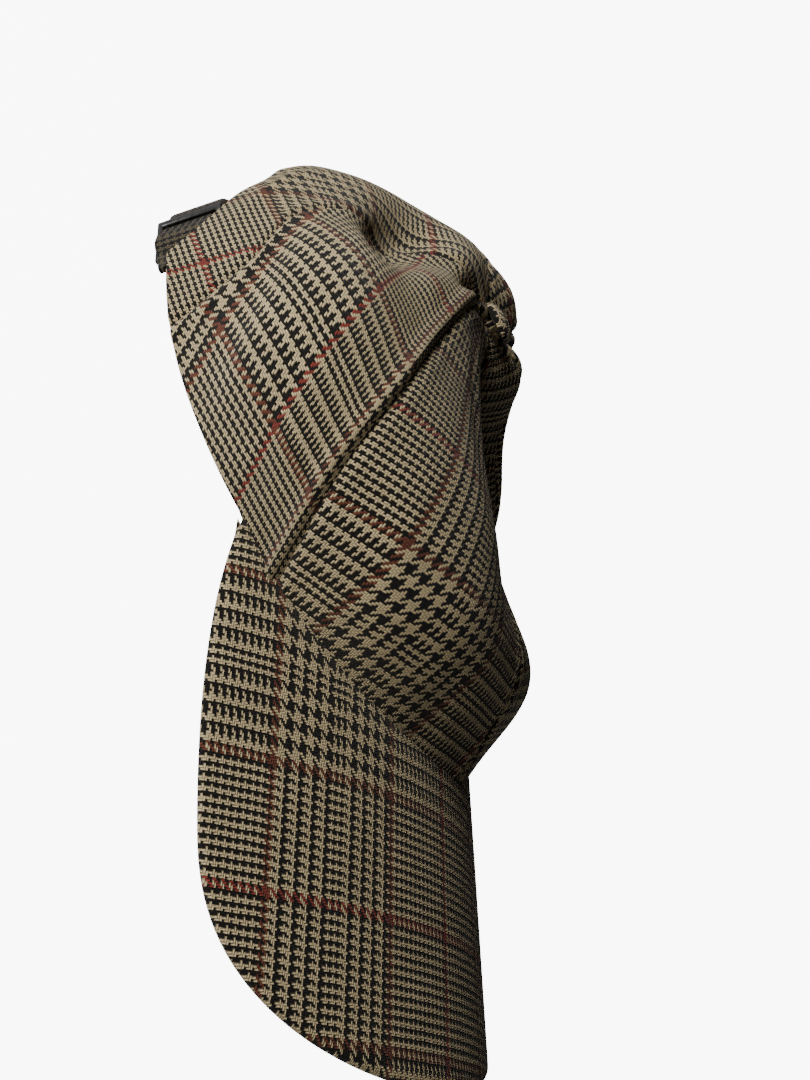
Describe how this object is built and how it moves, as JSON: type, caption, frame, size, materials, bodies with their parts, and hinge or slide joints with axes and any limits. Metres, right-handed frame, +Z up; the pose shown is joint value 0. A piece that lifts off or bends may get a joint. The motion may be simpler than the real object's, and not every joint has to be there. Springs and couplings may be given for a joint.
{
  "type": "soft panelled cap with peak",
  "caption": "Soft unstructured cap in checked tweed: panelled crown slumped in folds, bent cloth-covered peak, top button, and a cloth back strap adjusted by a metal slider.",
  "frame": {"origin": "on the surface that the cap lies on, under the middle of its whole length and width", "axes": "+Z up from the surface, the peak points to -Y, the back strap is at +Y, the wearer's right side is -X"},
  "size_m": [0.1675, 0.2668, 0.0835],
  "materials": {
    "tweed": "wool tweed in a brown, black and beige glen check, fuzzy",
    "peak_tweed": "the same wool tweed stretched over a stiff peak",
    "strap_tweed": "the same wool tweed, folded and stitched into a dark strap",
    "satin": "dark satin tape, slightly shiny",
    "dark_metal": "gunmetal, worn to a soft shine"
  },
  "bodies": {
    "root": {"front_panel_right": "tweed", "side_panel_right": "tweed", "back_panel_right": "tweed", "back_panel_left": "tweed", "side_panel_left": "tweed", "front_panel_left": "tweed", "peak": "peak_tweed", "sweatband": "satin", "buckle_strap": "strap_tweed", "tail_strap": "strap_tweed", "top_button": "tweed", "slider_buckle": "dark_metal"}
  },
  "joints": []
}
